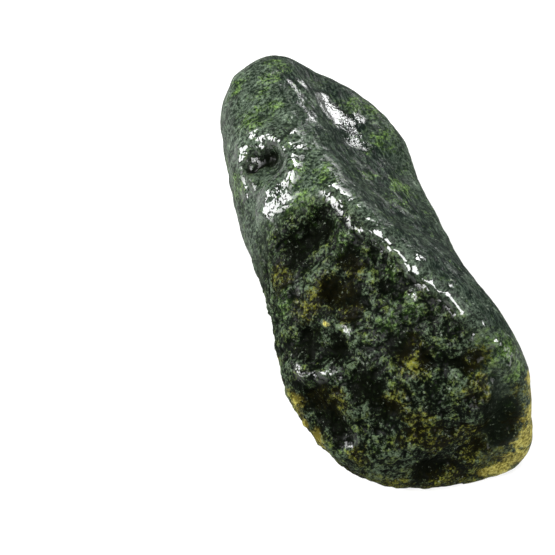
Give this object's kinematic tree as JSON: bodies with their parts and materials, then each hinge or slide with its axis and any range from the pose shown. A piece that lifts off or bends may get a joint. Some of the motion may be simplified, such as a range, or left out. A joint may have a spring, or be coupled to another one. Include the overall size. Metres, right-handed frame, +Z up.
{
  "type": "raw jade boulder",
  "caption": "Long water-worn nephrite jade boulder with a crest, a trough and pitted flanks, lying on its broad flat underside; a display or garden stone.",
  "frame": {"origin": "middle of the footprint, on the plane the stone rests on", "axes": "+Z up, +Y along the stone towards its rounded far end, +X to the right of someone looking along +Y"},
  "size_m": [0.1308, 0.292, 0.1171],
  "materials": {
    "nephrite": "wet, glossy green-black nephrite with grey-green flecks, moss-green patches and olive to brown weathering towards the sole"
  },
  "bodies": {
    "root": {"boulder": "nephrite"}
  },
  "joints": []
}
